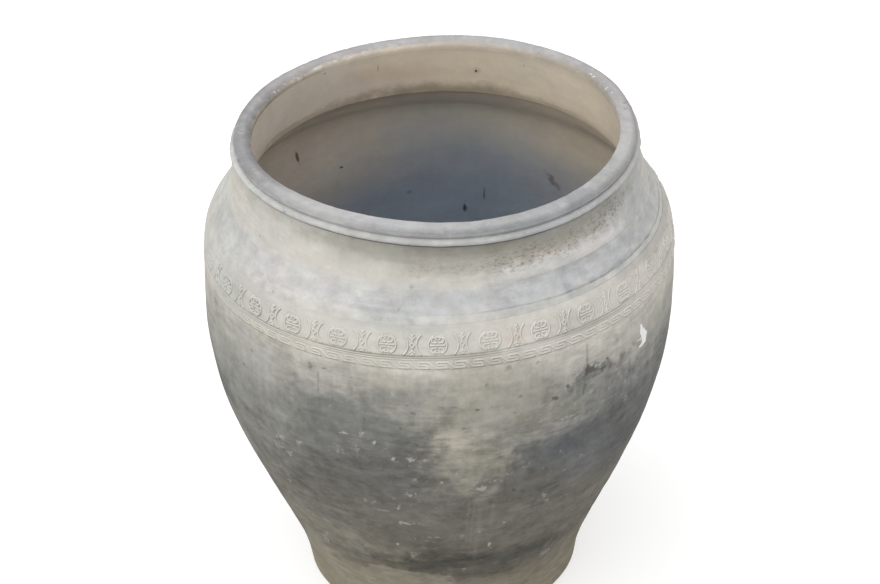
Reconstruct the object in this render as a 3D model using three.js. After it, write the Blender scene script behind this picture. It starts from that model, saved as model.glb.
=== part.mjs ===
// A large unglazed clay jar with a wide mouth, built by hand from thrown rings that are
// stacked wet, keyed into each other and fired as one. Three stamped strips of clay are
// bedded in a rebate round its shoulder, and a rolled bead sits under its lip.
// Millimetres, +Z up, origin at the centre of the base, where the jar stands.
import * as THREE from 'three';

// Driving dimensions

const segments = 48;

// Heights of the pieces, from the ground up
const slabThickness = 18;
const footWallHeight = 61;
const lowerBellyHeight = 125;
const middleBellyHeight = 125;
const upperBellyHeight = 92;
const fretStripHeight = 11.5;
const cordonHeight = 5;
const friezeStripHeight = 31.5;
const shoulderBandHeight = 32;
const neckCollarHeight = 51;
const beadHeight = 9;
const lipHeight = 10;

// Radii of the outside, and how its curves swell between them
const baseRadius = 157;
const baseBevel = 2;
const footSwell = 5;
const footSwellHeight = 32;
const waistRadius = 179;
const waistSlope = 0.43;
const waistCurveBelow = 25;
const waistCurveAbove = 107;
const bellyRadius = 266;
const widestAboveSeam = 39;
const bellyCurveBelow = 104;
const bellyCurveAbove = 151;
const neckSlope = 0.14;
const neckCurveBelow = 113;

// Walls and bores
const wall = 17;
const mouthRadius = 202;
const neckWall = 20.5;
const neckFlare = 10;
const neckFootDrop = 4.5;
const beadSeatDepth = 6;
const beadProjection = 9;
const lipWidth = 19;
const lipOuterRound = 4;
const lipInnerRound = 5;
const lipUndercut = 3;
const lipUndercutHeight = 5;

// Stamped strips, and the rebate that holds them
const stripThickness = 4.5;
const stripProud = 1;
const filletProud = 0.8;

// Keys between thrown rings: a ridge on the lower one, a groove in the upper one
const keyWidth = 6;
const keyHeight = 4;
const slipGap = 0.3;

// Greatest height of one facet of the outside, and of the inside
const outerStep = 30;
const innerStep = 45;

// Heights of the seams, stacked from the driving dimensions
const slabTop = slabThickness;
const waistTop = slabTop + footWallHeight;
const lowerSeam = waistTop + lowerBellyHeight;
const upperSeam = lowerSeam + middleBellyHeight;
const stripSeat = upperSeam + upperBellyHeight;
const fretTop = stripSeat + fretStripHeight;
const cordonTop = fretTop + cordonHeight;
const friezeTop = cordonTop + friezeStripHeight;
const shoulderTop = friezeTop + shoulderBandHeight;
const beadSeat = shoulderTop + neckCollarHeight;
const beadTop = beadSeat + beadHeight;
const lipTop = beadTop + lipHeight;
const widestHeight = upperSeam + widestAboveSeam;
const neckRadius = mouthRadius + neckWall;

// The outside of the jar: foot, belly and shoulder curves, as radius against height
const outlineCurves = [
  new THREE.CubicBezierCurve(
    new THREE.Vector2(baseRadius, 0),
    new THREE.Vector2(baseRadius + footSwell, footSwellHeight),
    new THREE.Vector2(waistRadius - waistSlope * waistCurveBelow, waistTop - waistCurveBelow),
    new THREE.Vector2(waistRadius, waistTop)),
  new THREE.CubicBezierCurve(
    new THREE.Vector2(waistRadius, waistTop),
    new THREE.Vector2(waistRadius + waistSlope * waistCurveAbove, waistTop + waistCurveAbove),
    new THREE.Vector2(bellyRadius, widestHeight - bellyCurveBelow),
    new THREE.Vector2(bellyRadius, widestHeight)),
  new THREE.CubicBezierCurve(
    new THREE.Vector2(bellyRadius, widestHeight),
    new THREE.Vector2(bellyRadius, widestHeight + bellyCurveAbove),
    new THREE.Vector2(neckRadius + neckSlope * neckCurveBelow, beadSeat - neckCurveBelow),
    new THREE.Vector2(neckRadius, beadSeat)),
];

// Radius of the outside at a height, found by halving along the curve that holds it
function outerRadius(height) {
  const curve = outlineCurves.find((c) => height <= c.v3.y) ?? outlineCurves.at(-1);
  let low = 0;
  let high = 1;
  for (let i = 0; i < 50; i += 1) {
    const middle = (low + high) / 2;
    if (curve.getPoint(middle).y < height) {
      low = middle;
    } else {
      high = middle;
    }
  }
  return curve.getPoint(low).x;
}

// Radius of the inside of the thrown wall, which is the same thickness measured square to it
function innerRadius(height) {
  const slope = outerRadius(height + 1) - outerRadius(height - 1);
  return outerRadius(height) - wall * Math.hypot(1, slope / 2);
}

// Evenly spaced heights from one level to another, both included, no further apart than step
function levels(from, to, step) {
  const count = Math.max(1, Math.ceil(Math.abs(to - from) / step));
  return Array.from({ length: count + 1 }, (_, i) => from + (to - from) * i / count);
}

function outside(from, to, offset = 0) {
  return levels(from, to, outerStep).map((z) => new THREE.Vector2(outerRadius(z) + offset, z));
}

function inside(from, to) {
  return levels(from, to, innerStep).map((z) => new THREE.Vector2(innerRadius(z), z));
}

// Three points of a key at a seam, from the inside out. A groove is wider by the slip gap
function key(seam, gap) {
  const centre = (outerRadius(seam) + innerRadius(seam)) / 2;
  const half = keyWidth / 2 + gap;
  const rise = keyHeight * half / (keyWidth / 2);
  return [
    new THREE.Vector2(centre - half, seam),
    new THREE.Vector2(centre, seam + rise),
    new THREE.Vector2(centre + half, seam),
  ];
}

function groove(seam) {
  return key(seam, slipGap);
}

function ridge(seam) {
  return key(seam, 0).reverse();
}

const jar = new THREE.Group();

// Turns a closed section about the jar's axis. The section runs up the outside and down the inside
function addPiece(name, section, color, roughness) {
  const geometry = new THREE.LatheGeometry(section, segments);
  geometry.rotateX(Math.PI / 2);
  const material = new THREE.MeshStandardMaterial({ color, roughness, metalness: 0 });
  const piece = new THREE.Mesh(geometry, material);
  piece.name = name;
  jar.add(piece);
}

function addRing(name, section, color, roughness) {
  addPiece(name, [...section, section[0]], color, roughness);
}

// Base slab: a flat disc, with its lower edge worn round
addPiece('base_slab', [
  new THREE.Vector2(0, 0),
  new THREE.Vector2(outerRadius(0) - baseBevel, 0),
  new THREE.Vector2(outerRadius(baseBevel), baseBevel),
  new THREE.Vector2(outerRadius(slabTop), slabTop),
  new THREE.Vector2(0, slabTop),
], 0x8a8474, 0.95);

// Foot wall: the steep ring from the slab to the waist
addRing('foot_wall', [
  ...outside(slabTop, waistTop),
  ...ridge(waistTop),
  ...inside(waistTop, slabTop),
], 0x7f7b70, 0.95);

// Lower and middle belly: two thrown rings of the long taper
addRing('lower_belly', [
  ...groove(waistTop),
  ...outside(waistTop, lowerSeam),
  ...ridge(lowerSeam),
  ...inside(lowerSeam, waistTop),
], 0x6c6b67, 0.93);

addRing('middle_belly', [
  ...groove(lowerSeam),
  ...outside(lowerSeam, upperSeam),
  ...ridge(upperSeam),
  ...inside(upperSeam, lowerSeam),
], 0x7b7a75, 0.93);

// Upper belly: the widest ring, with the rebate for the stamped strips at its top
addRing('upper_belly', [
  ...groove(upperSeam),
  ...outside(upperSeam, widestHeight).slice(0, -1),
  ...outside(widestHeight, stripSeat),
  ...outside(stripSeat, friezeTop, -stripThickness),
  ...inside(friezeTop, upperSeam),
], 0x9b9990, 0.93);

// Stamped strips: a key fret, a pair of fillets and the frieze, stacked in the rebate
addRing('fret_strip', [
  ...outside(stripSeat, fretTop, stripProud),
  ...outside(fretTop, stripSeat, slipGap - stripThickness),
], 0xb9b5a9, 0.95);

const filletHeights = levels(fretTop, cordonTop, cordonHeight / 4);
addRing('cordon_strip', [
  ...filletHeights.map((z, i) => new THREE.Vector2(
    outerRadius(z) + stripProud + (i % 2) * filletProud, z)),
  ...outside(cordonTop, fretTop, slipGap - stripThickness),
], 0xaaa69b, 0.95);

addRing('frieze_strip', [
  ...outside(cordonTop, friezeTop, stripProud),
  ...outside(friezeTop, cordonTop, slipGap - stripThickness),
], 0xc4c0b5, 0.95);

// Shoulder band: the sloping ring between the frieze and the neck
addRing('shoulder_band', [
  new THREE.Vector2(innerRadius(friezeTop), friezeTop),
  ...outside(friezeTop, shoulderTop),
  ...ridge(shoulderTop),
  ...inside(shoulderTop, friezeTop).slice(0, -1),
], 0xb2b4b2, 0.93);

// Neck collar: thrown apart, with a flaring bore whose foot hangs down inside the shoulder
const boreTop = new THREE.Vector2(mouthRadius, beadTop);
const boreFoot = new THREE.Vector2(mouthRadius + neckFlare, shoulderTop - neckFootDrop);
const beadSeatRadius = neckRadius - beadSeatDepth;
addRing('neck_collar', [
  boreFoot,
  new THREE.Vector2(innerRadius(shoulderTop) - slipGap, shoulderTop),
  ...groove(shoulderTop),
  ...outside(shoulderTop, beadSeat),
  new THREE.Vector2(beadSeatRadius, beadSeat),
  new THREE.Vector2(beadSeatRadius, beadTop),
  boreTop,
], 0xcfcabf, 0.93);

// Rim bead: a half-round coil pressed on to the neck's step, under the lip
const beadSection = new THREE.Path();
beadSection.moveTo(beadSeatRadius + slipGap, beadSeat);
beadSection.absellipse(beadSeatRadius + slipGap, beadSeat + beadHeight / 2,
  beadProjection - slipGap, beadHeight / 2, -Math.PI / 2, Math.PI / 2, false);
addRing('rim_bead', beadSection.getPoints(3), 0xa9a9a5, 0.9);

// Rim lip: a broad flat lip, rounded inside and out
const lipOuter = mouthRadius + lipWidth;
const lipOuterDrop = lipHeight - lipUndercutHeight;
const lipSection = new THREE.Path();
lipSection.moveTo(mouthRadius, beadTop);
lipSection.lineTo(lipOuter - lipUndercut, beadTop);
lipSection.lineTo(lipOuter, lipTop - lipOuterDrop);
lipSection.absellipse(lipOuter - lipOuterRound, lipTop - lipOuterDrop,
  lipOuterRound, lipOuterDrop, 0, Math.PI / 2, false);
lipSection.absellipse(mouthRadius + lipInnerRound, lipTop - lipInnerRound,
  lipInnerRound, lipInnerRound, Math.PI / 2, Math.PI, false);
addRing('rim_lip', lipSection.getPoints(2), 0xb1b1ad, 0.9);

export default jar;
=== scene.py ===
import math

import bmesh
import bpy
import numpy as np
from mathutils import Euler, Matrix, Vector


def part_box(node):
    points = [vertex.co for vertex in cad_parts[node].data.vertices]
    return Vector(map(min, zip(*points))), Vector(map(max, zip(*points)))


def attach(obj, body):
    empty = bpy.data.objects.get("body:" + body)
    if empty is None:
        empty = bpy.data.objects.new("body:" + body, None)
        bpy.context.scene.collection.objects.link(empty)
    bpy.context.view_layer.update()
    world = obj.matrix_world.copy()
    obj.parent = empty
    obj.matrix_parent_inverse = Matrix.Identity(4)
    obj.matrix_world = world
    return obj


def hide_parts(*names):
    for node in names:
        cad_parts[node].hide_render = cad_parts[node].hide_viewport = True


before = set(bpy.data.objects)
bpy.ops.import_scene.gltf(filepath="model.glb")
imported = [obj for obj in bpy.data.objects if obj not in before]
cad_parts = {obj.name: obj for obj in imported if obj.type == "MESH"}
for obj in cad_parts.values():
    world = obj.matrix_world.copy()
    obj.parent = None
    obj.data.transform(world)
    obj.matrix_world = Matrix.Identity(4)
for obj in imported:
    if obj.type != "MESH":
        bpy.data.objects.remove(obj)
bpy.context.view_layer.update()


# Base slab
# A flat disc of coarse clay, beaten out on a board, on which the jar was built up ring by ring. It keeps
# the potter's spiral inside, and its lower edge is worn round where the jar has been dragged about.
mm = 0.001
slab_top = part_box("base_slab")[1].z
waist_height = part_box("lower_belly")[0].z
waist_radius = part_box("foot_wall")[1].x
belly_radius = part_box("upper_belly")[1].x
bead_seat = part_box("rim_bead")[0].z
bead_stands_out = 3 * mm
neck_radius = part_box("rim_bead")[1].x - bead_stands_out
foot_radius = 157 * mm
widest_height = 368 * mm


def bezier(start, first_pull, second_pull, end):
    """Points, as radius and height, along one curve of the jar's outline."""
    t = np.linspace(0, 1, 900)[:, None]
    ends = (1 - t) ** 3 * np.array(start) + t ** 3 * np.array(end)
    pulls = (1 - t) * np.array(first_pull) + t * np.array(second_pull)
    return ends + 3 * t * (1 - t) * pulls


outline = np.concatenate([
    bezier((foot_radius, 0), (foot_radius + 5 * mm, 32 * mm),
           (waist_radius - 10.7 * mm, waist_height - 25 * mm), (waist_radius, waist_height)),
    bezier((waist_radius, waist_height), (waist_radius + 46 * mm, waist_height + 107 * mm),
           (belly_radius, widest_height - 104 * mm), (belly_radius, widest_height)),
    bezier((belly_radius, widest_height), (belly_radius, widest_height + 151 * mm),
           (neck_radius + 15.8 * mm, bead_seat - 113 * mm), (neck_radius, bead_seat)),
])


def outside(height):
    """Radius of the jar's outside at a height."""
    return np.interp(height, outline[:, 1], outline[:, 0])


def eased(share):
    """From 0 to 1 as share passes from 0 to 1, with soft ends."""
    share = np.clip(share, 0, 1)
    return share * share * (3 - 2 * share)


def hump(number, centre, width):
    """1 at the centre, and next to nothing at twice the width away."""
    return np.exp(-((number - centre) / width) ** 2)


def waves(angle, cosines, sines):
    """A sum of waves round the jar, the first of one turn, the next of half a turn, and so on."""
    return sum(cosine * np.cos(turns * angle) + sine * np.sin(turns * angle)
               for turns, (cosine, sine) in enumerate(zip(cosines, sines), 1))


def lumps(angle, height, across, tall, seed):
    """Smooth swells and hollows from -1 to 1 round the jar, each about across by tall."""
    cells = max(3, round(2 * math.pi * belly_radius / across))
    levels = int(0.65 / tall) + 3
    heights = np.random.default_rng(seed).uniform(-1, 1, (levels, cells))
    u = np.asarray(angle) / (2 * math.pi) % 1 * cells
    v = np.asarray(height) / tall + 1
    i = np.floor(v).astype(int)
    j = np.floor(u).astype(int)
    fu = eased(u - j)
    fv = eased(v - i)
    low = heights[i, j % cells] * (1 - fu) + heights[i, (j + 1) % cells] * fu
    high = heights[i + 1, j % cells] * (1 - fu) + heights[i + 1, (j + 1) % cells] * fu
    return low * (1 - fv) + high * fv


def hand_made(angle, height):
    """How far the thrown wall stands off its true circle."""
    oval = np.cos(2 * angle + 0.6 + 3 * height)
    three_sided = np.cos(3 * angle + 1.9 - 5 * height)
    out_of_round = 0.3 * mm * (oval + 0.6 * three_sided)
    swells = 0.45 * mm * lumps(angle, height, 120 * mm, 38 * mm, 3)
    dents = 0.2 * mm * lumps(angle, height, 26 * mm, 11 * mm, 5)
    finger_lines = 0.09 * mm * lumps(angle, height, 420 * mm, 4.5 * mm, 7)
    drawn_in = 1.25 * mm * hump(height, widest_height, 75 * mm)
    room = belly_radius - 0.75 * mm - outside(height)
    return np.minimum(out_of_round + swells + dents + finger_lines - drawn_in, room)


def standing(angle, radius, height):
    """Places a point as the jar stands: it leans a little and sags, and its rim is neither level nor
    round."""
    rim = eased((height - 505 * mm) / (47 * mm))
    wide = 0.3 + waves(angle, (1.0, -0.6, -0.2, 0.2), (-1.7, 0, 0.8, 0.2))
    for strength, at, width in ((1.7, 2.37, 0.42), (2.2, 2.05, 0.26), (-1.1, 1.67, 0.25)):
        wide = wide + strength * hump(angle, at, width)
    high = waves(angle, (-1.3, -0.4, -0.2, -0.3), (1.1, -1.5, -0.4, -0.5)) - 2.5
    high = np.minimum(high, 0.2)
    radius = radius + rim * wide * mm
    lean = 0.0068 * (height - widest_height)
    sag = np.interp(height, np.array([0, 80, 160, 240, 320, 400, 480]) * mm,
                    np.array([0.9, 0.6, 0.4, -0.8, -0.8, 0.4, 0]) * mm)
    across = radius * np.sin(angle) + lean + sag
    return np.stack([across, -radius * np.cos(angle), height + rim * high * mm], -1)


def round_the_jar(columns):
    """Angles round the jar, from the back by the left side, with 0 at the front."""
    return np.linspace(-math.pi, math.pi, columns, endpoint=False)[None, :]


def levels_between(low, high, step):
    """A column of heights from low to high, no further apart than step."""
    return np.linspace(low, high, max(2, math.ceil((high - low) / step) + 1))[:, None]


def clay_mesh(name, points, materials, inner_from=None, marks=None, capped=False, crease=40):
    """A closed piece of clay. Its rows run up the outside, over the top and down the inside, and those from
    inner_from on, if it is given, wear the second material. Marks give a number to each point of the first
    rows, by name, for the material to read. A capped piece's first and last rows are one point each."""
    rows, columns = points.shape[:2]
    i = np.arange(rows - 1 if capped else rows)[:, None]
    j = np.arange(columns)[None, :]
    up = (i + 1) % rows
    after = (j + 1) % columns
    faces = np.stack(np.broadcast_arrays(
        i * columns + j, i * columns + after, up * columns + after, up * columns + j), -1)
    mesh = bpy.data.meshes.new(name)
    mesh.from_pydata(points.reshape(-1, 3).tolist(), [], faces.reshape(-1, 4).tolist())
    first_inner = rows if inner_from is None else inner_from
    inner = np.broadcast_to((i >= first_inner).astype(np.int32), faces.shape[:2])
    mesh.polygons.foreach_set("material_index", np.ascontiguousarray(inner).ravel())
    for material in materials:
        mesh.materials.append(material)
    for label, mark in (marks or {}).items():
        numbers = np.zeros((rows, columns), np.float32)
        numbers[:len(mark)] = mark
        mesh.attributes.new(label, "FLOAT", "POINT").data.foreach_set("value", numbers.ravel())
    if capped:
        ends = bmesh.new()
        ends.from_mesh(mesh)
        bmesh.ops.remove_doubles(ends, verts=ends.verts, dist=0.01 * mm)
        ends.to_mesh(mesh)
        ends.free()
    mesh.shade_smooth()
    mesh.set_sharp_from_angle(angle=math.radians(crease))
    piece = bpy.data.objects.new(name, mesh)
    bpy.context.scene.collection.objects.link(piece)
    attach(piece, "root")
    return piece


def fill(tree, socket, content):
    """Gives a socket a value, or a link from another node's socket."""
    if isinstance(content, bpy.types.NodeSocket):
        tree.links.new(content, socket)
    else:
        socket.default_value = content


def put(tree, kind, sockets=None, **settings):
    """Adds a node to a tree, sets it up, and fills its sockets."""
    node = tree.nodes.new(kind)
    for name, setting in settings.items():
        setattr(node, name, setting)
    for name, content in (sockets or {}).items():
        fill(tree, node.inputs[name], content)
    return node


def work_out(tree, operation, *numbers, clamp=False):
    """The result of one Math node."""
    node = put(tree, "ShaderNodeMath", dict(enumerate(numbers)), operation=operation, use_clamp=clamp)
    return node.outputs[0]


def times(tree, *numbers):
    """The product of two numbers."""
    return work_out(tree, "MULTIPLY", *numbers)


def times_plus(tree, *numbers, clamp=False):
    """The product of the first two numbers, with the third added."""
    return work_out(tree, "MULTIPLY_ADD", *numbers, clamp=clamp)


def vector_work(tree, operation, *vectors):
    """The result of one Vector Math node."""
    return put(tree, "ShaderNodeVectorMath", dict(enumerate(vectors)), operation=operation).outputs[0]


def parts_of(tree, vector):
    """A vector's three numbers, as X, Y and Z."""
    return put(tree, "ShaderNodeSeparateXYZ", {0: vector}).outputs


def cloudy_colour(tree, point, scale, detail=3):
    """Three noises at once, as a colour."""
    noise = put(tree, "ShaderNodeTexNoise", {"Vector": point, "Scale": scale, "Detail": detail})
    return noise.outputs["Color"]


def point_on_jar(tree):
    """Where a point lies, in metres."""
    return put(tree, "ShaderNodeTexCoord").outputs["Object"]


def read_mark(tree, label):
    """A number that a piece's mesh gives to each of its points."""
    return put(tree, "ShaderNodeAttribute", attribute_name=label).outputs["Fac"]


def smooth_step(tree, number, low, high):
    """From 0 at low to 1 at high, with soft ends."""
    node = put(tree, "ShaderNodeMapRange", {"Value": number, "From Min": low, "From Max": high},
               interpolation_type="SMOOTHSTEP")
    return node.outputs["Result"]


def shade(code):
    """A colour from its web code, as the linear values that shaders take."""
    values = [int(code[k:k + 2], 16) / 255 for k in (1, 3, 5)]
    return [v / 12.92 if v <= 0.04045 else ((v + 0.055) / 1.055) ** 2.4 for v in values] + [1]


def blend(tree, amount, first, second, mode="MIX"):
    """One colour worked over another by an amount."""
    node = tree.nodes.new("ShaderNodeMix")
    node.data_type = "RGBA"
    node.blend_type = mode
    for socket, content in ((0, amount), (6, first), (7, second)):
        fill(tree, node.inputs[socket], content)
    return node.outputs[2]


def new_group(name, inputs, outputs):
    """A shader node group with named sockets, and its two ends."""
    tree = bpy.data.node_groups.new(name, "ShaderNodeTree")
    kinds = {"number": "NodeSocketFloat", "colour": "NodeSocketColor", "vector": "NodeSocketVector"}
    for label, kind in outputs.items():
        tree.interface.new_socket(label, in_out="OUTPUT", socket_type=kinds[kind])
    for label, (kind, default) in inputs.items():
        socket = tree.interface.new_socket(label, in_out="INPUT", socket_type=kinds[kind])
        socket.default_value = default
    return tree, tree.nodes.new("NodeGroupInput").outputs, tree.nodes.new("NodeGroupOutput").inputs


def place_group(tree, group, **sockets):
    """Puts a group into a material, with spaces for the underlines in its sockets' names."""
    node = tree.nodes.new("ShaderNodeGroup")
    node.node_tree = group
    for name, content in sockets.items():
        fill(tree, node.inputs[name.replace("_", " ")], content)
    return node.outputs


def make_place_on_jar():
    """Where a point lies on the jar: degrees round from the front, height in millimetres, and how far a
    stain's edge frays there, broadly and finely."""
    tree, _, out = new_group("Place on jar", {}, {
        "Angle": "number", "Height": "number", "Fray": "vector", "Fine fray": "vector"})
    point = point_on_jar(tree)
    parts = parts_of(tree, point)
    toward_front = times(tree, parts["Y"], -1)
    angle = work_out(tree, "ARCTAN2", parts["X"], toward_front)
    tree.links.new(work_out(tree, "DEGREES", angle), out["Angle"])
    tree.links.new(times(tree, parts["Z"], 1000), out["Height"])
    for label, scale, detail in (("Fray", 17, 3), ("Fine fray", 85, 4)):
        cloudy = cloudy_colour(tree, point, scale, detail)
        tree.links.new(vector_work(tree, "SUBTRACT", cloudy, (0.5, 0.5, 0.5)), out[label])
    return tree


place_on_jar = make_place_on_jar()


def make_patch():
    """A round or long patch on the jar, 1 inside and 0 outside, with frayed edges."""
    tree, given, out = new_group("Patch", {
        "Angle": ("number", 0), "Height": ("number", 0),
        "Fray": ("vector", (0, 0, 0)), "Fine fray": ("vector", (0, 0, 0)),
        "Centre angle": ("number", 0), "Centre height": ("number", 0),
        "Width": ("number", 20), "Tall": ("number", 40),
        "Lean": ("number", 0), "Softness": ("number", 0.5),
        "Ragged": ("number", 1), "Speckle": ("number", 0.5),
    }, {"Mask": "number"})
    turn = work_out(tree, "SUBTRACT", given["Angle"], given["Centre angle"])
    turn = work_out(tree, "WRAP", turn, 180, -180)
    rise = work_out(tree, "SUBTRACT", given["Height"], given["Centre height"])
    turn = work_out(tree, "SUBTRACT", turn, times(tree, rise, given["Lean"]))
    across = work_out(tree, "DIVIDE", turn, times(tree, given["Width"], 0.5))
    up = work_out(tree, "DIVIDE", rise, times(tree, given["Tall"], 0.5))
    flat = put(tree, "ShaderNodeCombineXYZ", {"X": across, "Y": up}).outputs[0]
    for fray, amount in (("Fray", "Ragged"), ("Fine fray", "Speckle")):
        flat = vector_work(tree, "MULTIPLY_ADD", given[fray], times(tree, given[amount], 2), flat)
    sides = parts_of(tree, flat)
    squares = times_plus(tree, sides["X"], sides["X"], times(tree, sides["Y"], sides["Y"]))
    away = work_out(tree, "SQRT", squares)
    near = work_out(tree, "SUBTRACT", 1, given["Softness"])
    far = work_out(tree, "ADD", 1, given["Softness"])
    tree.links.new(work_out(tree, "SUBTRACT", 1, smooth_step(tree, away, near, far)), out["Mask"])
    return tree


patch = make_patch()


def patch_mask(tree, place, angle, height, width, tall, lean=0.0, soft=0.5, ragged=1.0, speckle=0.6):
    """A patch's mask, with its place and size in degrees and millimetres."""
    return place_group(
        tree, patch, Angle=place["Angle"], Height=place["Height"], Fray=place["Fray"],
        Fine_fray=place["Fine fray"], Centre_angle=angle, Centre_height=height, Width=width, Tall=tall,
        Lean=lean, Softness=soft, Ragged=ragged, Speckle=speckle)["Mask"]


def stains(tree, place, colour, listed, mode="MIX", **edge):
    """Works patches of other tones into a colour, one over another. Each is listed as its tone, degrees
    round, height, width in degrees, how tall it is, its strength, and its lean where it has one."""
    for tone, angle, height, width, tall, amount, *lean in listed:
        mask = patch_mask(tree, place, angle, height, width, tall, *lean, **edge)
        colour = blend(tree, times(tree, mask, amount), colour, shade(tone), mode)
    return colour


def tones_by_height(tree, level, stops):
    """A colour that passes through tones at stated heights, lowest first, in millimetres."""
    top = stops[-1][0]
    node = put(tree, "ShaderNodeValToRGB", {0: work_out(tree, "DIVIDE", level, top)})
    elements = node.color_ramp.elements
    elements[0].position = 0
    elements[0].color = shade(stops[0][1])
    elements[1].position = 1
    elements[1].color = shade(stops[-1][1])
    for height, tone in stops[1:-1]:
        elements.new(height / top).color = shade(tone)
    return node.outputs[0]


def make_kiln_tones():
    """How the fire left the outside: a pale foot, charcoal belly and cream neck, with frayed borders."""
    tree, given, out = new_group("Kiln tones", {
        "Height": ("number", 0), "Fray": ("vector", (0, 0, 0)), "Fine fray": ("vector", (0, 0, 0)),
    }, {"Colour": "colour"})
    fray = parts_of(tree, given["Fray"])
    fine = parts_of(tree, given["Fine fray"])
    calm = smooth_step(tree, given["Height"], 470, 400)
    wander = times_plus(tree, calm, 32, 10)
    level = times_plus(tree, fray["Z"], wander, given["Height"])
    level = times_plus(tree, fine["Z"], 10, level)
    colour = tones_by_height(tree, level, [
        (0, "#98917f"), (72, "#8e8878"), (90, "#7f7a6d"), (112, "#6f6b62"), (150, "#7c786f"),
        (200, "#77746d"), (250, "#73716b"), (300, "#767671"), (335, "#8b8a84"), (365, "#a3a19a"),
        (395, "#b6b3aa"), (418, "#c8c3b9"), (433, "#cfcbc2"), (455, "#ccc9c1"), (472, "#c6c4bf"),
        (486, "#c4c3c0"), (498, "#c5c4c0"), (510, "#cac7bf"), (530, "#c9c5bc"), (545, "#c0bdb4"),
        (556, "#b6b3ab"),
    ])
    tree.links.new(colour, out["Colour"])
    return tree


kiln_tones = make_kiln_tones()

# Stains left outside by smoke, ash, damp and wiping: tone, degrees round, height, width in degrees, height
# of the stain, and how strong it is
kiln_stains = [
    ("#aaa597", 4, 338, 20, 116, 0.65), ("#bcb6a8", 3, 320, 13, 50, 0.85),
    ("#a5a194", 7, 288, 19, 66, 0.75), ("#b3aea2", 9, 388, 34, 56, 0.4),
    ("#9f9e98", -27, 363, 16, 34, 0.5), ("#93918a", -21, 305, 13, 22, 0.55),
    ("#908e88", -8, 391, 12, 26, 0.55), ("#a3a093", 22, 354, 18, 50, 0.5),
    ("#777975", -22, 342, 36, 62, 0.8), ("#83837e", -13, 386, 20, 30, 0.6),
    ("#6b6a66", -13, 290, 26, 80, 0.75), ("#9b9c97", -56, 345, 34, 90, 0.6),
    ("#a8a59c", -54, 404, 34, 36, 0.5), ("#a8a59b", -17, 408, 22, 24, 0.55),
    ("#929088", 17, 379, 16, 30, 0.4), ("#9b9a95", -45, 380, 17, 26, 0.5),
    ("#b4b2ab", 63, 384, 20, 34, 0.45), ("#5f5c54", 9, 90, 26, 18, 0.6),
    ("#979690", 34, 322, 18, 34, 0.55), ("#828483", 66, 322, 34, 70, 0.6),
    ("#66676a", 30, 290, 24, 40, 0.8), ("#6b6d6e", 50, 268, 44, 90, 0.75),
    ("#7b7870", 42, 172, 44, 70, 0.5), ("#52514c", 23, 111, 50, 40, 0.85),
    ("#5c5951", -2, 134, 18, 44, 0.75), ("#57554e", -12, 115, 24, 26, 0.6),
    ("#8e8c85", -58, 262, 30, 110, 0.6), ("#9d988b", -53, 112, 24, 90, 0.55),
    ("#66635b", 12, 142, 16, 20, 0.4), ("#8e887a", -34, 136, 40, 40, 0.7),
    ("#777468", -42, 103, 30, 24, 0.5), ("#86817a", 55, 128, 26, 50, 0.5),
    ("#7f796d", 46, 74, 52, 40, 0.7), ("#66635b", 20, 88, 34, 26, 0.5),
    ("#6f6d6a", 120, 290, 90, 160, 0.5), ("#9b968a", -120, 330, 70, 130, 0.5),
    ("#6f6e6b", 178, 270, 60, 130, 0.6), ("#99958a", 150, 110, 60, 70, 0.5),
]


def kiln_colour(tree, place, low, high):
    """The kiln's tones between two heights, with the stains that reach in there."""
    colour = place_group(tree, kiln_tones, Height=place["Height"], Fray=place["Fray"],
                         Fine_fray=place["Fine fray"])["Colour"]
    listed = []
    for spot in kiln_stains:
        _, _, height, _, tall, _ = spot
        reach = 0.9 * tall + 15
        if low < height + reach and high > height - reach:
            listed.append(spot)
    return stains(tree, place, colour, listed, soft=0.7, ragged=1.2, speckle=0.9)


def cloud(tree, point, stretch, detail=4, roughness=0.6):
    """Noise about 0, stretched by so many cells to the metre each way."""
    vector = vector_work(tree, "MULTIPLY", point, stretch)
    noise = put(tree, "ShaderNodeTexNoise",
                {"Vector": vector, "Scale": 1, "Detail": detail, "Roughness": roughness})
    return work_out(tree, "SUBTRACT", noise.outputs[0], 0.5)


def dots(tree, point, cells, size, share):
    """Small ragged spots, so many cells to the metre, in a share of the cells."""
    bent = cloudy_colour(tree, point, 5 * cells)
    point = vector_work(tree, "MULTIPLY_ADD", bent, [0.55 / cells] * 3, point)
    cell = put(tree, "ShaderNodeTexVoronoi", {"Vector": point, "Scale": cells})
    chance = parts_of(tree, cell.outputs["Color"])
    room = times(tree, chance["Y"], size)
    near = work_out(tree, "SUBTRACT", 1, smooth_step(tree, cell.outputs["Distance"], room, size))
    return times(tree, near, work_out(tree, "LESS_THAN", chance["X"], share))


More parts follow.
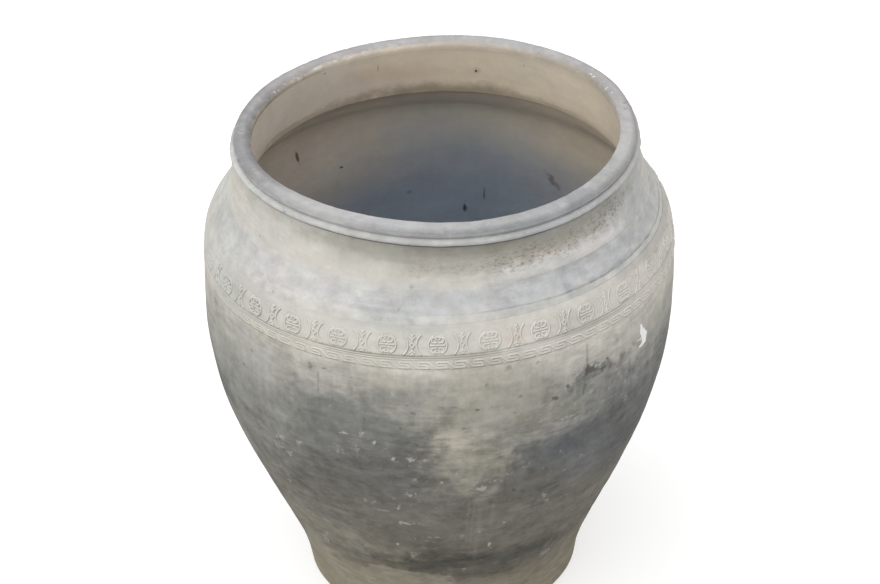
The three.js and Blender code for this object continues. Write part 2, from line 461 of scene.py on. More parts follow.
def make_clay_surface():
    """How unglazed clay weathers: mottled, wiped round while wet, streaked by rain, rubbed, pitted, and
    where a piece's mesh says so, sooty, flaked, or knocked off to the pale clay, with painted shade in its
    hollows and a painted highlight on its ridges."""
    tree, given, out = new_group("Clay surface", {
        "Colour": ("colour", (0.5, 0.5, 0.5, 1)), "Mottle": ("number", 0.8),
        "Wiped lines": ("number", 0.3), "Rain streaks": ("number", 0.2), "Scuffs": ("number", 0.5),
        "Scuff tone": ("colour", (0.5, 0.5, 0.5, 1)), "Pits": ("number", 0.5), "Dirt": ("number", 0.4),
    }, {"Colour": "colour", "Roughness": "number", "Height": "number"})
    point = point_on_jar(tree)
    relief = read_mark(tree, "relief")
    broad = cloud(tree, point, (13, 13, 19), 3)
    mottle = cloud(tree, point, (55, 55, 72), 6, 0.72)
    lines = cloud(tree, point, (9, 9, 190), 5)
    smears = smooth_step(tree, cloud(tree, point, (34, 34, 130), 5, 0.65), -0.07, 0.07)
    scratched = smooth_step(tree, cloud(tree, point, (34, 34, 800), 2), 0.17, 0.26)
    streaks = cloud(tree, point, (110, 110, 6), 3)
    grain = cloud(tree, point, (900, 900, 900), 3)
    shift = times(tree, times_plus(tree, broad, 0.9, mottle), given["Mottle"])
    wiped = times_plus(tree, smears, 0.5, lines)
    wiped = times_plus(tree, scratched, 0.7, work_out(tree, "SUBTRACT", wiped, 0.3))
    patchy = smooth_step(tree, cloud(tree, point, (9, 9, 13), 2), -0.12, 0.16)
    wiped = times(tree, wiped, times_plus(tree, patchy, 0.9, 0.2))
    # Painted shade where the relief mark sinks below 0, and a painted highlight where it rises above 0
    sunk_shade = work_out(tree, "MINIMUM", relief, 0)
    raised_highlight = work_out(tree, "MAXIMUM", relief, 0)
    pits = times(tree, dots(tree, point, 75, 0.2, 0.07), given["Pits"])
    for effect, strength in (
        (wiped, given["Wiped lines"]), (streaks, given["Rain streaks"]), (grain, 0.15),
        (sunk_shade, given["Dirt"]), (raised_highlight, 0.15), (pits, -0.35),
    ):
        shift = times_plus(tree, effect, strength, shift)
    light = work_out(tree, "ADD", shift, 1)
    hue_drift = cloudy_colour(tree, point, 16)
    hue = vector_work(tree, "MULTIPLY_ADD", hue_drift, (0.07, 0.04, 0.07), (0.965, 0.98, 0.965))
    colour = put(tree, "ShaderNodeVectorMath", {0: given["Colour"], "Scale": light}, operation="SCALE")
    colour = vector_work(tree, "MULTIPLY", colour.outputs[0], hue)
    rubbed = smooth_step(tree, cloud(tree, point, (45, 45, 100), 5, 0.68), 0.12, 0.25)
    here = smooth_step(tree, cloud(tree, point, (15, 15, 15), 2), -0.03, 0.12)
    rubbed = times(tree, rubbed, here)
    flecks = dots(tree, point, 60, 0.2, 0.03)
    rubbed = times(tree, work_out(tree, "MAXIMUM", rubbed, flecks), given["Scuffs"])
    colour = blend(tree, rubbed, colour, given["Scuff tone"])
    fine = cloud(tree, point, (260, 260, 330), 4, 0.7)
    for label, raggedness, low, high, strength, tone in (
        ("sooted", 1.1, 0.15, 0.85, 0.8, "#565551"),
        ("flaked", 2.2, 0.2, 1.15, 0.8, "#bebdb8"),
        ("chipped", 1.8, 0.25, 0.9, 1, "#fdfdfc"),
    ):
        shown = smooth_step(tree, times_plus(tree, fine, raggedness, read_mark(tree, label)), low, high)
        colour = blend(tree, times(tree, shown, strength), colour, shade(tone))
    tree.links.new(colour, out["Colour"])
    rough = times_plus(tree, mottle, 0.2, 0.9)
    tree.links.new(times_plus(tree, pits, 0.05, rough, clamp=True), out["Roughness"])
    height = mottle
    for effect, strength in ((lines, 0.6), (grain, 0.35), (pits, -0.8), (rubbed, 0.15)):
        height = times_plus(tree, effect, strength, height)
    tree.links.new(height, out["Height"])
    return tree


clay_surface = make_clay_surface()


def fired_clay(name, paint, bump=0.6, **surface):
    """A matt clay material. Paint lays its tones, and the shared surface weathers them."""
    material = bpy.data.materials.new(name)
    material.use_nodes = True
    tree = material.node_tree
    shader = tree.nodes["Principled BSDF"]
    place = place_group(tree, place_on_jar)
    worn = place_group(tree, clay_surface, Colour=paint(tree, place), **surface)
    bumped = put(tree, "ShaderNodeBump", {"Height": worn["Height"], "Distance": 0.5 * mm, "Strength": bump})
    tree.links.new(worn["Colour"], shader.inputs["Base Color"])
    tree.links.new(worn["Roughness"], shader.inputs["Roughness"])
    tree.links.new(bumped.outputs[0], shader.inputs["Normal"])
    shader.inputs["Specular IOR Level"].default_value = 0.2
    return material


def bare_arch(tree, place, colour):
    """An arch of pale clay at the foot, which a prop kept clear of the smoke."""
    arch = ("#979181", -14, 64, 38, 70, 0.92)
    return stains(tree, place, colour, [arch], soft=0.12, ragged=0.4, speckle=0.3)


def paint_foot(tree, place):
    """The pale foot."""
    return bare_arch(tree, place, kiln_colour(tree, place, 0, 80))


foot_clay = fired_clay("Foot clay", paint_foot, Mottle=0.7, Wiped_lines=0.3, Scuffs=0.4,
                       Scuff_tone=shade("#b3aea2"), Pits=0.7)


def paint_inside(tree, place):
    """Warm and pale under the neck, with painted shade just under the ledge at the back, and blue grey with
    damp lower down, with a few old nicks.
    """
    fray = parts_of(tree, place["Fray"])
    level = times_plus(tree, fray["Z"], 16, place["Height"])
    colour = tones_by_height(tree, level, [
        (0, "#9a9893"), (220, "#9a9ea3"), (330, "#a2a6ad"), (362, "#a7a9ad"), (379, "#afaeaf"),
        (397, "#b4b3b3"), (413, "#c0bdb6"), (430, "#cbc3b9"), (450, "#d4cabb"), (500, "#cfc3b2"),
    ])
    colour = stains(tree, place, colour, [("#dce8f6", 177, 290, 60, 370, 1)], mode="MULTIPLY",
                    soft=0.6, ragged=0.12, speckle=0.05)
    colour = stains(tree, place, colour, [
        ("#dccfc0", -132, 406, 60, 90, 0.7), ("#d6c7ae", 130, 444, 50, 80, 0.5),
        # Painted shade just under the ledge at the back
        ("#8f8880", 180, 487, 76, 18, 0.5),
    ], soft=0.9, ragged=0.3, speckle=0.1)
    return stains(tree, place, colour, [
        ("#3a3630", -138.2, 429, 1.0, 15, 0.8, 0.06), ("#3a3630", -152.5, 394, 1.1, 3, 0.8, 0),
        ("#2f3741", 172.2, 321.5, 1.0, 13, 0.9, 0.02), ("#3a434d", 166.8, 339.5, 0.7, 13, 0.6, 0),
        ("#5f5b56", 146.4, 375, 2.2, 20, 0.6, 0.19), ("#5f666d", -172, 343, 1.5, 5, 0.6, 0),
    ], soft=0.5, ragged=0.6, speckle=1.6)


inside_clay = fired_clay("Inside clay", paint_inside, bump=0.5, Mottle=0.28, Wiped_lines=0.08,
                         Rain_streaks=0.06, Scuffs=0.12, Scuff_tone=shade("#c4beb6"), Pits=0.12)

angles = round_the_jar(720)
slab_radii = np.concatenate([[0, 60, 120, 150], np.linspace(154, 156, 4)])[:, None] * mm
slab_heights = np.concatenate([[0, 0, 0, 0], np.linspace(0, 1, 4) ** 2 * 2])[:, None] * mm
slab_side = levels_between(2 * mm, slab_top, 2 * mm)[1:]
floor_radii = np.linspace(outside(slab_top), 0, 81)[1:, None]
floor_ring_height = 0.7 * mm
floor_rings = floor_ring_height * np.cos(floor_radii / (2.2 * mm) - angles)
floor_rings = floor_rings * np.clip(1 - floor_radii / (140 * mm), 0, 1)
radius = np.concatenate([
    slab_radii + 0 * angles,
    outside(slab_side) + hand_made(angles, slab_side),
    floor_radii + 0 * angles,
])
height = np.concatenate([
    slab_heights + 0 * angles,
    slab_side + 0 * angles,
    slab_top - floor_ring_height + floor_rings,
])
base_slab = clay_mesh("base_slab_clay", standing(angles, radius, height), [foot_clay, inside_clay],
                      len(slab_radii) + len(slab_side) - 1, capped=True)
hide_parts("base_slab")


# Foot wall
# The steep ring between the slab and the waist. It was thrown on the slab, then scraped smooth, and has
# fired paler than the smoke-darkened belly above it.
wall = 17 * mm
deepest_cut = 0.5 * mm
flake_depth = 0.35 * mm
flake_seed = 83


def inside(height):
    """Radius of the jar's inside, the same thickness of wall measured square to it."""
    slope = (outside(height + mm) - outside(height - mm)) / (2 * mm)
    return outside(height) - wall * np.hypot(1, slope)


def settled(angle, height):
    """The stamped strips were laid a little uphill from left to right, and their seams follow."""
    levels = np.array([330, 421, 437.5, 455, 469, 501, 535]) * mm
    uphill = np.interp(height, levels, np.array([0, 3.7, 5.5, 6, 4.5, 2.5, 0]) * mm)
    lift = np.interp(height, levels, np.array([0, 0.3, 0, 0, 1.5, 1, 0]) * mm)
    return height + uphill * np.sin(angle) + lift


def spots(angle, height, listed, seed):
    """Marks worn into the surface, from 0 to 1, with ragged edges. Each is given by its degrees round, its
    height, its width in degrees, how tall it is, its strength, and its lean where it has one."""
    found = np.zeros(np.broadcast(angle, height).shape)
    ragged = 0.9 * lumps(angle, height, 3.4 * mm, 3.2 * mm, seed)
    ragged = ragged + 0.5 * lumps(angle, height, 10 * mm, 7 * mm, seed + 1)
    for at, level, wide, tall, strength, *lean in listed:
        up = (height / mm - level) / (tall / 2)
        across = (np.degrees(angle) - at - sum(lean) * (height / mm - level)) / (wide / 2)
        away = np.hypot(across, up) + ragged
        found = np.maximum(found, strength * np.clip(1.5 - away, 0, 1))
    return found


def finger_ridges(angle, height):
    """The shallow spiral that the potter's fingers leave inside."""
    spiral = 0.1 * mm * np.cos(height / (4.2 * mm) - angle)
    return spiral + 0.3 * mm * lumps(angle, height, 60 * mm, 26 * mm, 11)


def thrown_ring(name, node, low, high, materials, step, cuts=None, flakes=None, around=angles):
    """A ring of the jar's wall between two seams, with what was cut into it and what has flaked off it."""
    outer = settled(around, levels_between(low, high, step))
    inner = settled(around, levels_between(low, high, 5 * mm)[::-1])
    cut = 0 * outer if cuts is None else cuts(around, outer)
    flaked = 0 * outer if flakes is None else spots(around, outer, flakes, flake_seed)
    radius = np.concatenate([
        outside(outer) + hand_made(around, outer) + cut - flake_depth * flaked,
        inside(inner) + finger_ridges(around, inner),
    ])
    # The relief mark paints shade into a cut and a highlight onto the lip beside it
    marks = {"relief": np.clip(cut / deepest_cut, -1, 1), "flaked": flaked}
    piece = clay_mesh(name, standing(around, radius, np.concatenate([outer, inner])), materials,
                      len(outer) - 1, marks)
    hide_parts(node)
    return piece


foot_wall = thrown_ring("foot_wall_clay", "foot_wall", slab_top, waist_height,
                        [foot_clay, inside_clay], 2 * mm)


# Lower and middle belly
# Two rings of the long taper, thrown in one wall with the rest. Kiln smoke has turned them charcoal, and
# the wet clay was wiped round, which left fine level lines. Knocks have flaked pale spots off them.
lower_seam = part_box("middle_belly")[0].z
upper_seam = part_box("upper_belly")[0].z
columns_round = round_the_jar(1440)

# Flakes and splashes: degrees round, height, width in degrees, how tall, strength, and lean if any
belly_flakes = [
    (-6.8, 303, 2.6, 6, 1, 0.1), (-3.6, 302, 1.6, 5, 0.7), (-11.6, 301, 1.0, 4, 1, 0.1),
    (-24.6, 302, 2.4, 9, 0.6, 0.1), (-20.2, 311, 2.0, 20, 0.45), (-15.9, 323, 0.9, 9, 1, 0.05),
    (-24.0, 328, 4.6, 3, 0.75), (-19, 331, 1.1, 6, 0.7, 0.1), (-43, 289, 2.6, 7, 0.7, 0.1),
    (-37.2, 291, 1.8, 10, 0.6, 0.1), (-41, 268, 1.9, 10, 0.6, 0.15), (-33.7, 257, 1.1, 4, 0.9, 0.1),
    (-44, 276, 2.4, 14, 0.45, 0.15), (-7.5, 247, 1.9, 6, 1.1), (-20.4, 227, 1.0, 5, 0.7),
    (-18.1, 227, 1.0, 5, 0.8, 0.1), (-11.6, 221, 0.8, 6, 0.8, 0.1), (-10.6, 193.5, 4.6, 5, 0.85),
    (-8.5, 166, 0.9, 4, 0.85), (-3.4, 169, 4.6, 4, 0.65), (-4.5, 160, 2.4, 14, 0.4),
    (-14.2, 151, 1.8, 5, 0.9), (-10.2, 129, 2.2, 12, 0.5, 0.1), (-25.6, 134, 2.2, 10, 0.45),
    (-43, 113, 2.4, 38, 0.5, 0.09), (-45, 157, 3.4, 11, 0.5, 0.1), (28.4, 216, 1.2, 10, 0.65, -0.1),
    (29.7, 205, 1.4, 8, 0.65, -0.1), (18.2, 183, 2.4, 10, 0.45), (5.4, 168, 1.3, 9, 0.45),
    (14.3, 145, 1.0, 8, 0.95), (15, 137, 2.0, 5, 0.85), (7.2, 99, 2.4, 7, 0.55),
    (39.2, 87, 3.6, 9, 0.55, -0.1), (4, 277, 2.4, 7, 0.7), (10, 253, 2.0, 8, 0.85),
    (13.6, 263, 2.6, 8, 0.55, 0.2), (8, 262, 2.2, 10, 0.4), (14.5, 303, 1.1, 5, 1),
    (39.5, 321, 2.4, 7, 0.5), (34.6, 326, 2.6, 8, 0.55), (51.5, 311, 1.8, 16, 0.5, -0.1),
    (37.5, 262, 1.8, 9, 0.4, -0.1), (20, 277, 2.4, 9, 0.4), (0, 267, 1.2, 5, 0.6),
    (-28, 205, 1.4, 6, 0.4, 0.1), (-47, 210, 3.0, 5, 0.6, 0.3), (-49, 229, 2.6, 6, 0.5, 0.3),
    (16, 271, 1.4, 6, 0.5), (10.5, 175, 1.2, 12, 0.35), (33, 250, 1.5, 6, 0.45, -0.1),
    (-6.5, 272, 1.4, 12, 0.35), (100, 240, 3, 8, 0.7), (128, 190, 2, 12, 0.7, 0.1), (165, 265, 4, 6, 0.8),
    (-150, 215, 2, 9, 0.7), (-110, 160, 3, 7, 0.6),
]


def paint_dark_belly(tree, place):
    """Charcoal, with paler drips down the front."""
    colour = kiln_colour(tree, place, 79, 329)
    colour = stains(tree, place, colour, [
        ("#8a877f", 6.6, 212, 1.0, 90, 0.6), ("#8d8a82", 7.9, 205, 0.9, 110, 0.5),
        ("#86837b", 9.6, 190, 1.6, 130, 0.5), ("#83817a", 13.2, 212, 1.4, 90, 0.5),
        ("#7f7d77", 20, 230, 2.6, 90, 0.4), ("#5f5f5b", 15.8, 266, 0.8, 44, 0.35),
    ], soft=0.8, ragged=1.2, speckle=0.6)
    return bare_arch(tree, place, colour)


dark_clay = fired_clay("Dark clay", paint_dark_belly, Mottle=1.2, Wiped_lines=0.38, Rain_streaks=0.25,
                       Scuffs=0.65, Scuff_tone=shade("#a09f99"), Pits=0.8)
lower_belly = thrown_ring("lower_belly_clay", "lower_belly", waist_height, lower_seam,
                          [dark_clay, inside_clay], 1.8 * mm, flakes=belly_flakes, around=columns_round)
middle_belly = thrown_ring("middle_belly_clay", "middle_belly", lower_seam, upper_seam,
                           [dark_clay, inside_clay], 1.8 * mm, flakes=belly_flakes, around=columns_round)


# Upper belly
# The widest ring. It is paler towards the top, and a shallow rebate round its shoulder holds the strips.
# It carries the jar's worst wear: a fresh white chip at the right, an upright score and a short crack.
strip_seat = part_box("fret_strip")[0].z
frieze_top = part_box("frieze_strip")[1].z
rebate_depth = 4.8 * mm
upper_flake_depth = 0.3 * mm
soot_seed = 87
chip_depth = 1.1 * mm
chip_angle = 56.2
chip_height = 386.5 * mm
mm_to_a_degree = 4.6

# The chip's spine from top to bottom, and a tongue off its middle: millimetres right and up, and half width
chip_spine = [(-1.5, 11, 4.2), (0.3, 3, 6.4), (5.8, -5.5, 7.6), (6.4, -12.5, 5.2), (-0.6, -15.2, 3.8),
              (-8.3, -14.6, 2.2)]
chip_tongue = [(3.5, -5.6, 3.4), (-9.8, -4.5, 1.8)]


def paint_upper_belly(tree, place):
    """Mid grey going pale, with the soot of a kiln prop at the right."""
    colour = kiln_colour(tree, place, 329, 421)
    return stains(tree, place, colour, [
        ("#7e7f7b", 39, 358, 24, 46, 0.65), ("#6c6d69", 38, 379, 13, 15, 0.7),
        ("#74756f", 34, 366, 5, 26, 0.4), ("#7b7b78", 44, 346, 20, 24, 0.5),
        ("#8d8c82", 32, 341, 12, 16, 0.5), ("#a3a29a", 58, 378, 18, 50, 0.4),
        ("#9a9a9a", -54, 396, 14, 22, 0.35), ("#928c76", -2, 353, 8, 3, 0.5),
        ("#8a846f", -4, 361, 6, 2.2, 0.5), ("#8f8974", -1, 367, 7, 1.8, 0.4),
    ], soft=0.5, ragged=1.3, speckle=1.7)


# Spots of soot, listed as the flakes are
soot_spots = [
    (36.1, 386.5, 1.8, 7, 1), (36.0, 380, 1.6, 9, 0.7), (15.5, 414.5, 2.2, 6, 0.5),
    (40.5, 387, 3.4, 5, 0.8), (20.3, 404, 2.4, 4, 0.4), (10.1, 399, 1.7, 4, 0.45),
    (14.5, 385, 1.5, 5, 0.4), (27.5, 363, 2.0, 5, 0.8), (17, 358, 1.0, 5, 0.7), (18.6, 378, 1.1, 4, 0.6),
    (8.2, 368.5, 0.9, 3, 0.6), (30.5, 374, 2.4, 6, 0.85), (33, 379, 3, 5, 0.75), (37.6, 382, 3.4, 8, 0.8),
    (41, 378, 3.2, 8, 0.8, 0.1), (39, 373, 3, 6, 0.55), (44, 375, 3, 6, 0.5),
    (35.6, 362, 0.8, 26, 0.55, 0.03), (34.8, 341, 0.6, 22, 0.4, 0.03), (31.6, 364, 1.4, 7, 0.4),
    (15, 337, 2.0, 5, 0.4), (-36, 387, 1.5, 3, 0.45), (-18, 352, 0.8, 15, 0.5), (-15, 352, 0.7, 10, 0.5),
    (-32, 405, 0.8, 8, 0.5), (-20, 402, 6, 1.8, 0.45), (-35.7, 341, 1.2, 4, 0.5),
    (46, 402, 3, 9, 0.35, 0.2), (-28.5, 406, 0.9, 3, 0.5), (47, 368, 2.2, 6, 0.4), (22, 346, 6, 1.6, 0.35),
    (1.5, 374, 7, 1.8, 0.35), (43, 362, 2, 8, 0.4), (33, 352, 1.4, 6, 0.4), (38, 357, 1.4, 9, 0.4),
    (29, 351, 1.6, 6, 0.4), (27, 334, 4, 3, 0.4), (8, 345, 6, 1.8, 0.35), (-9, 376, 5, 2.2, 0.4),
    (-24, 372, 6, 2, 0.35, 0.1), (12, 369, 5, 1.8, 0.35), (52, 350, 3, 7, 0.4),
]
upper_flakes = belly_flakes + [
    (-19, 391, 2.2, 5, 0.5), (-11.5, 388, 1.0, 8, 0.55), (-5, 372, 5.6, 3, 0.4), (31.5, 331, 6.4, 3, 0.65),
    (42, 328, 3, 5, 0.5, 0.2), (34, 372, 0.8, 3, 0.5), (38, 365, 1, 3, 0.5), (42, 360, 0.8, 4, 0.5),
    (46, 366, 1, 3, 0.5), (40, 350, 1.2, 3, 0.5), (44, 345, 1, 4, 0.5), (48, 352, 1, 5, 0.5),
    (37, 345, 0.8, 3, 0.5), (50, 340, 1.4, 5, 0.5), (33, 358, 0.8, 3, 0.4), (53, 335, 4, 8, 0.5),
    (45, 330, 10, 3, 0.4), (-27, 361, 1.2, 4, 0.4), (-57, 382, 3, 3, 0.4, 0.4), (-55, 357, 8, 4, 0.3, 0.2),
    (35, 345, 1, 10, 0.3), (-40, 345, 3, 9, 0.3, 0.1), (140, 370, 4, 6, 0.6), (-160, 350, 2, 10, 0.6),
]


belly_clay = fired_clay("Belly clay", paint_upper_belly, Mottle=0.88, Wiped_lines=0.32, Rain_streaks=0.3,
                        Scuffs=0.4, Scuff_tone=shade("#bab7af"), Pits=0.9)


def chip(angle, height):
    """How far into the fresh chip a point lies, from 0 at its ragged edge to 1."""
    across = (np.degrees(angle) - chip_angle) * mm_to_a_degree
    up = (height - chip_height) / mm
    inward = np.full(np.broadcast(across, up).shape, -10.0)
    for run in (chip_spine, chip_tongue):
        for (x0, y0, wide0), (x1, y1, wide1) in zip(run, run[1:]):
            along = np.array([x1 - x0, y1 - y0])
            share = np.clip(((across - x0) * along[0] + (up - y0) * along[1]) / (along @ along), 0, 1)
            away = np.hypot(across - x0 - share * along[0], up - y0 - share * along[1])
            inward = np.maximum(inward, wide0 + (wide1 - wide0) * share - away)
    ragged = 1.5 * lumps(angle, height, 3.5 * mm, 9 * mm, 81)
    ragged = ragged + 1.2 * lumps(angle, height, 2.6 * mm, 3 * mm, 82)
    return np.clip((inward + ragged) / 3.2, 0, 1)


def upright_cut(angle, height, at, low, high, depth, half_width):
    """A score drawn down the wet clay with a point."""
    across = (np.degrees(angle) - at) * mm_to_a_degree * mm / half_width
    ends = np.clip((height - low) / (4 * mm), 0, 1) * np.clip((high - height) / (4 * mm), 0, 1)
    return -depth * hump(across, 0, 1) * ends


outer = settled(columns_round, levels_between(upper_seam, strip_seat, 1.6 * mm))
seat = settled(columns_round, levels_between(strip_seat, frieze_top, 8 * mm))
inner = settled(columns_round, levels_between(upper_seam, frieze_top, 6 * mm)[::-1])
chipped = chip(columns_round, outer)
flaked = spots(columns_round, outer, upper_flakes, flake_seed)
sooted = spots(columns_round, outer, soot_spots, soot_seed)
scores = upright_cut(columns_round, outer, 36.2, 376 * mm, 419 * mm, 0.45 * mm, 1.3 * mm)
scores = scores + upright_cut(columns_round, outer, -29.9, 371 * mm, 401 * mm, 0.35 * mm, 1.0 * mm)
worn_in = scores - chip_depth * chipped - upper_flake_depth * flaked
radius = np.concatenate([
    outside(outer) + hand_made(columns_round, outer) + worn_in,
    outside(seat) - rebate_depth,
    inside(inner) + finger_ridges(columns_round, inner),
])
height = np.concatenate([outer, seat, inner])
# The scores' relief mark paints shade into them
upper_marks = {"relief": np.clip(scores / deepest_cut, -1, 0), "chipped": chipped, "flaked": flaked,
               "sooted": sooted}
upper_belly = clay_mesh("upper_belly_clay", standing(columns_round, radius, height),
                        [belly_clay, inside_clay], len(outer) + len(seat) - 1, upper_marks)
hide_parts("upper_belly")


# Fret strip
# A thin strip of pale clay, rolled with a carved roller into a slanting key fret and pressed into the
# lower edge of the rebate while the jar was still damp.
def paint_strip(tree, place):
    """Pale clay, creamier at the right and cooler at the left, with bands of painted shade along the seams.
    """
    colour = kiln_colour(tree, place, 425, 465)
    colour = stains(tree, place, colour, [("#d3cfc7", 42, 448, 80, 50, 0.9)])
    return stains(tree, place, colour, [
        # The darker bands from 436 to 445 are painted shade along the cordon and under the frieze's
        # ornaments, and those at 470 are painted shade under the shoulder's lap
        ("#c0bfba", -62, 448, 40, 60, 0.7), ("#bab8b2", -20, 470, 50, 10, 0.6),
        ("#c7c3b7", -35, 425, 26, 20, 0.3), ("#aba89f", -42, 417, 30, 6, 0.5),
        ("#b3b0a6", 34, 439, 26, 5, 0.6), ("#a8a59b", -5, 436, 36, 4, 0.6),
        ("#9f9c93", 49.5, 445, 3.6, 2.4, 0.8), ("#ada9a0", 68, 470, 40, 14, 0.5),
        ("#d2bfb2", 17.5, 449, 5, 10, 0.35),
    ], soft=0.6)


strip_clay = fired_clay("Strip clay", paint_strip, bump=0.35, Mottle=0.4, Wiped_lines=0.12,
                        Rain_streaks=0.08, Scuffs=0.25, Scuff_tone=shade("#d2cfc8"), Pits=0.4, Dirt=0.5)
strip_thickness = 4.2 * mm
strip_proud = 1.0 * mm
frieze_radius = outside(452 * mm)
fret_units = 84
fret_bar_spacing = 3.5 * mm
fret_middle = 427 * mm
stroke_width = 1.6 * mm
# How far the painted shadow under each stroke falls to the right and down
shadow_aside = 0.8 * mm
shadow_below = 1.0 * mm


def away_from_line(x, y, start, end):
    """Distance of points from a straight stroke."""
    along = np.array(end) - np.array(start)
    share = ((x - start[0]) * along[0] + (y - start[1]) * along[1]) / (along @ along)
    share = np.clip(share, 0, 1)
    return np.hypot(x - start[0] - share * along[0], y - start[1] - share * along[1])


def pressed(distance, width=stroke_width):
    """Height from 0 to 1 of a rounded ridge that a stroke in the roller leaves."""
    return eased(1.35 - distance / (width / 2))


def lumps_round(angle, across, seed):
    """Swells and hollows round the jar that don't change with height."""
    return lumps(angle, 0 * angle, across, 100 * mm, seed)


def fret(angle, height):
    """Distance from the key fret: three bars to a unit, joined into one running line."""
    roll = 0.35 * lumps_round(angle, 160 * mm, 21)
    turn = angle / (2 * math.pi) * fret_units + roll + 0.5
    pitch = 2 * math.pi * frieze_radius / fret_units
    x = (turn % 1) * pitch
    bar = fret_bar_spacing
    found = np.full(np.broadcast(x, height).shape, 1.0)
    corners = [(0, -bar), (0.60 * pitch, -bar), (0.47 * pitch, 0), (0.08 * pitch, 0),
               (0.04 * pitch, bar), (0.60 * pitch, bar), (pitch, -bar)]
    for start, end in zip(corners, corners[1:]):
        for shift in (-pitch, 0, pitch):
            shifted = (start[0] + shift, start[1]), (end[0] + shift, end[1])
            found = np.minimum(found, away_from_line(x, height, *shifted))
    return found


def stamped(distance, from_above, worn, width=stroke_width):
    """Relief for the material: a painted highlight on each stroke's ridge, and painted shade in the ground
    round it, strongest just below and right of it.
    """
    ridge = pressed(distance, width)
    # A painted shadow below and right of each stroke, and painted shade in the ground round it
    painted_shade = 0.75 * pressed(from_above, width) + 0.2 * hump(distance, 1.3 * mm, 0.9 * mm)
    return worn * (ridge - painted_shade * (1 - ridge))


def strip(name, node, columns, step, relief, materials):
    """A strip of clay in the rebate, from its CAD node's bottom to its top, with relief on its face."""
    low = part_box(node)[0].z
    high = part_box(node)[1].z
    around = round_the_jar(columns)
    nominal = levels_between(low, high, step)
    face = settled(around, nominal)
    back = settled(around, np.array([[high], [low]]))
    proud, mark = relief(around, nominal)
    radius = np.concatenate([
        outside(face) + hand_made(around, face) + proud,
        outside(back) - strip_thickness,
    ])
    piece = clay_mesh(name, standing(around, radius, np.concatenate([face, back])), materials,
                      marks={"relief": mark}, crease=80)
    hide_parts(node)
    return piece


def worn_away(angle):
    """How much of the stamping is left: the sides were rubbed down, the left one most."""
    degrees = np.degrees(angle)
    left = 0.7 * hump(degrees, -82, 12)
    right = 0.25 * hump(degrees, 68, 6)
    return 1 - left - right


def fret_relief(angle, height):
    """The fret strip's face: how proud it stands, and its relief for the material."""
    distance = fret(angle, height - fret_middle)
    from_above = fret(angle - shadow_aside / frieze_radius, height - fret_middle + shadow_below)
    lower_edge = np.clip((height - strip_seat) / (1.2 * mm), 0, 1)
    worn = worn_away(angle) * (0.8 + 0.4 * lumps(angle, height, 45 * mm, 20 * mm, 23))
    proud = strip_proud * (0.15 + 0.4 * lower_edge) + 0.95 * mm * worn * pressed(distance)
    # Painted shade along the strip's lower edge
    return proud, stamped(distance, from_above, worn) - 0.5 * (1 - lower_edge)


fret_strip = strip("fret_strip_clay", "fret_strip", 2880, 0.55 * mm, fret_relief, [strip_clay])


# Cordon strip
# Two thin fillets between the fret and the frieze, drawn along the seam with a forked tool. Their relief
# paints a highlight on the fillets and shade in the grooves beside them.
def cordon_relief(angle, height):
    """Two ridges in painted highlight, with painted shade in the grooves beside them."""
    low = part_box("cordon_strip")[0].z
    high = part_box("cordon_strip")[1].z
    share = (height - low) / (high - low)
    worn = 0.7 + 0.5 * lumps(angle, height, 50 * mm, 20 * mm, 31)
    ridge = np.abs(np.sin(2 * math.pi * share)) ** 1.5
    return strip_proud * 0.35 + 0.8 * mm * worn * ridge, worn * (ridge * 1.3 - 0.9)


cordon_strip = strip("cordon_strip_clay", "cordon_strip", 1440, 0.35 * mm, cordon_relief, [strip_clay])


# Frieze strip
# The broad strip, rolled with two turn-about ornaments of no meaning, each alike to left and right and
# above and below: a round one of four scrolls in two side arcs, and a waisted one of two bowed strokes.
frieze_pairs = 29
medallion_radius = 10.3 * mm
frieze_stroke = 1.45 * mm
frieze_middle = 450.3 * mm


def away_from_arc(x, y, centre, radius, start, end):
    """Distance of points from a stroke along a circle, from one angle to another in degrees."""
    turn = np.degrees(np.arctan2(y - centre[1], x - centre[0]))
    middle = (start + end) / 2
    off = (turn - middle + 180) % 360 - 180
    inside_arc = np.abs(off) <= abs(end - start) / 2
    along = np.abs(np.hypot(x - centre[0], y - centre[1]) - radius)
    ends = np.full(along.shape, np.inf)
    for angle in (start, end):
        tip_x = centre[0] + radius * math.cos(math.radians(angle))
        tip_y = centre[1] + radius * math.sin(math.radians(angle))
        ends = np.minimum(ends, np.hypot(x - tip_x, y - tip_y))
    return np.where(inside_arc, along, ends)


def medallion(x, y):
    """Distance to the strokes of the round ornament."""
    x, y = np.abs(x), np.abs(y)
    return np.minimum.reduce([
        away_from_arc(x, y, (0, 0), medallion_radius, -66, 66),
        away_from_line(x, y, (2.2 * mm, 0), (8.0 * mm, 0)),
        np.abs(np.hypot(x, y) - 0.4 * mm),
        away_from_arc(x, y, (4.2 * mm, 5.4 * mm), 2.5 * mm, -90, 170),
        away_from_line(x, y, (4.2 * mm, 2.9 * mm), (1.4 * mm, 2.9 * mm)),
        away_from_arc(x, y, (0, 12.2 * mm), 4.0 * mm, 236, 304),
    ])


def waisted_ornament(x, y):
    """Distance to the strokes of the waisted ornament: a lozenge and sprays of leaves between two bows."""
    x, y = np.abs(x), np.abs(y)
    return np.minimum.reduce([
        away_from_arc(x, y, (18.3 * mm, 0), 13.7 * mm, 130, 230),
        away_from_line(x, y, (0, 3.2 * mm), (2.6 * mm, 0)),
        away_from_arc(x, y, (5.4 * mm, 3.4 * mm), 5.6 * mm, 118, 178),
        away_from_arc(x, y, (4.6 * mm, 7.2 * mm), 4.8 * mm, 128, 180),
        np.abs(np.hypot(x, y - 9.9 * mm) - 0.3 * mm),
    ])


